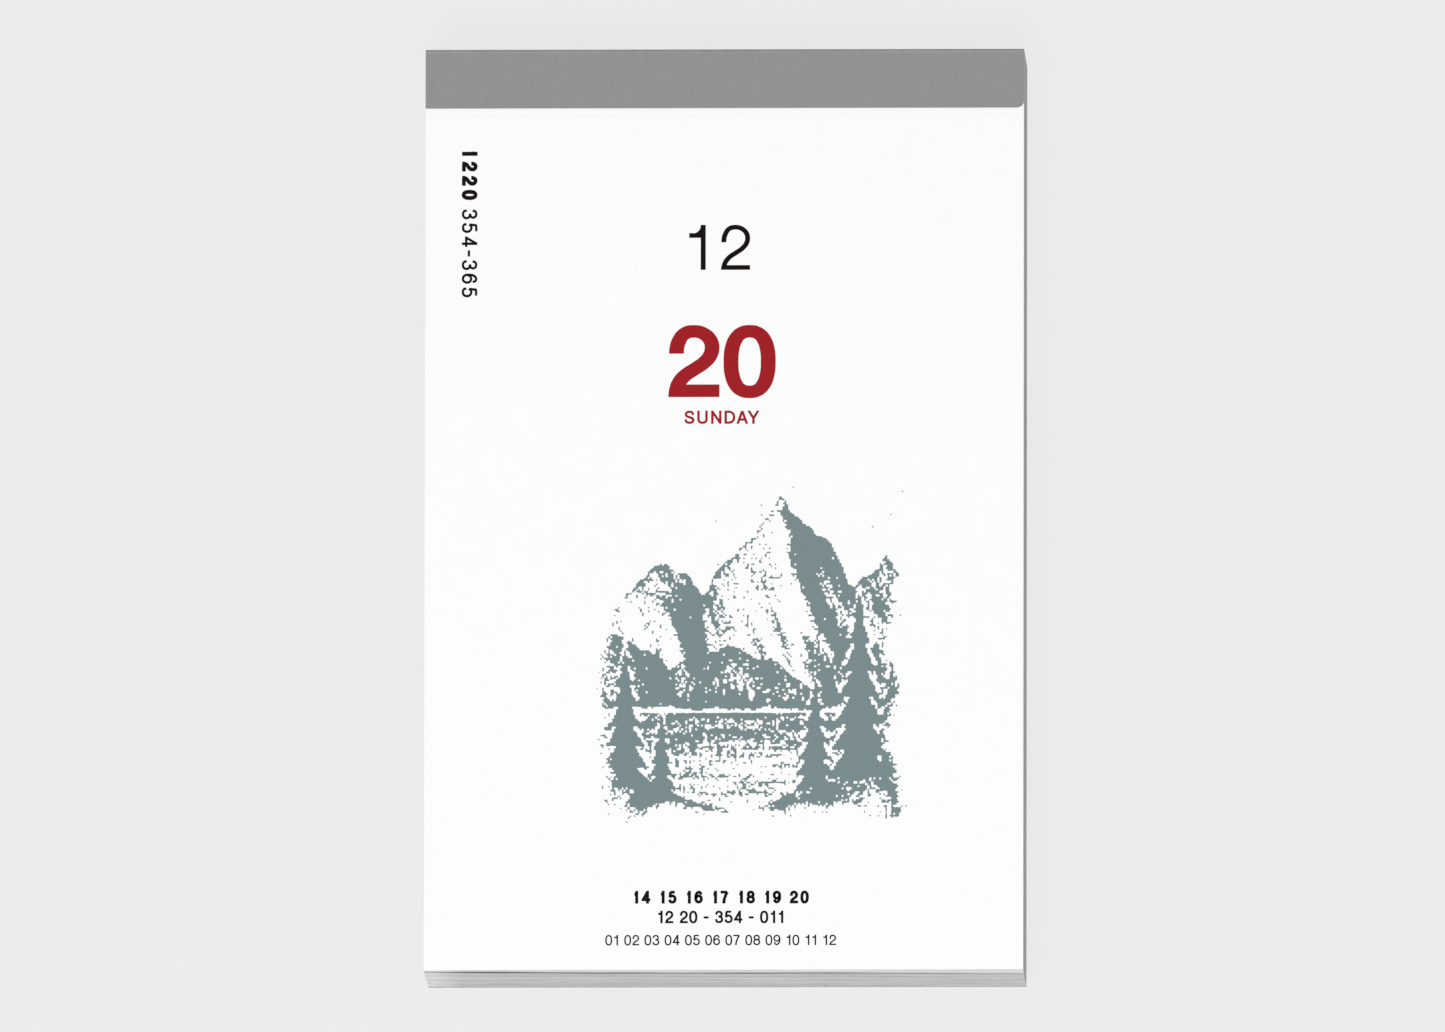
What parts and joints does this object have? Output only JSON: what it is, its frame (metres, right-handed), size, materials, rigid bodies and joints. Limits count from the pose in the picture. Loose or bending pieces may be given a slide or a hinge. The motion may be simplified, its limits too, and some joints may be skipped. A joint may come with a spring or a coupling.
{
  "type": "tear-off day calendar",
  "caption": "Tear-off day calendar: a thick pad of thin white leaves on a pulp board, bound at the head by a folded grey wrap, whose top leaf lifts and tears off along a perforation.",
  "frame": {"origin": "centre of the underside, on the back of the backing board", "axes": "+Z out of the printed page, +Y towards the bound head, +X to the reader's right"},
  "size_m": [0.1, 0.155, 0.0249],
  "materials": {
    "leaf_paper": "matte",
    "binding_wrap": "matte",
    "pulp_board": "matte",
    "padding_glue": "satin",
    "staple_wire": "satin"
  },
  "bodies": {
    "pad": {"back_board": "pulp_board", "head_glue": "padding_glue", "head_wrap": "binding_wrap", "leaf_sheaf_01": "leaf_paper", "leaf_sheaf_02": "leaf_paper", "leaf_sheaf_03": "leaf_paper", "leaf_sheaf_04": "leaf_paper", "leaf_sheaf_05": "leaf_paper", "leaf_sheaf_06": "leaf_paper", "leaf_sheaf_07": "leaf_paper", "leaf_sheaf_08": "leaf_paper", "leaf_sheaf_09": "leaf_paper", "leaf_sheaf_10": "leaf_paper", "leaf_sheaf_11": "leaf_paper", "staple_left": "staple_wire", "staple_right": "staple_wire", "stub_block": "leaf_paper", "today_stub": "leaf_paper", "tomorrow_leaf": "leaf_paper"},
    "tear_edge": {"tear_edge": "leaf_paper"},
    "leaf": {"today_leaf": "leaf_paper"}
  },
  "joints": [
    {"name": "leaf_tear", "type": "slide", "parent": "pad", "child": "tear_edge", "axis": [0, -1, 0], "range_m": [0, 0.16]},
    {"name": "leaf_lift", "type": "hinge", "parent": "tear_edge", "child": "leaf", "pos_m": [0, 0.06484, 0.02451], "axis": [-1, 0, 0], "range_deg": [0, 150]}
  ]
}
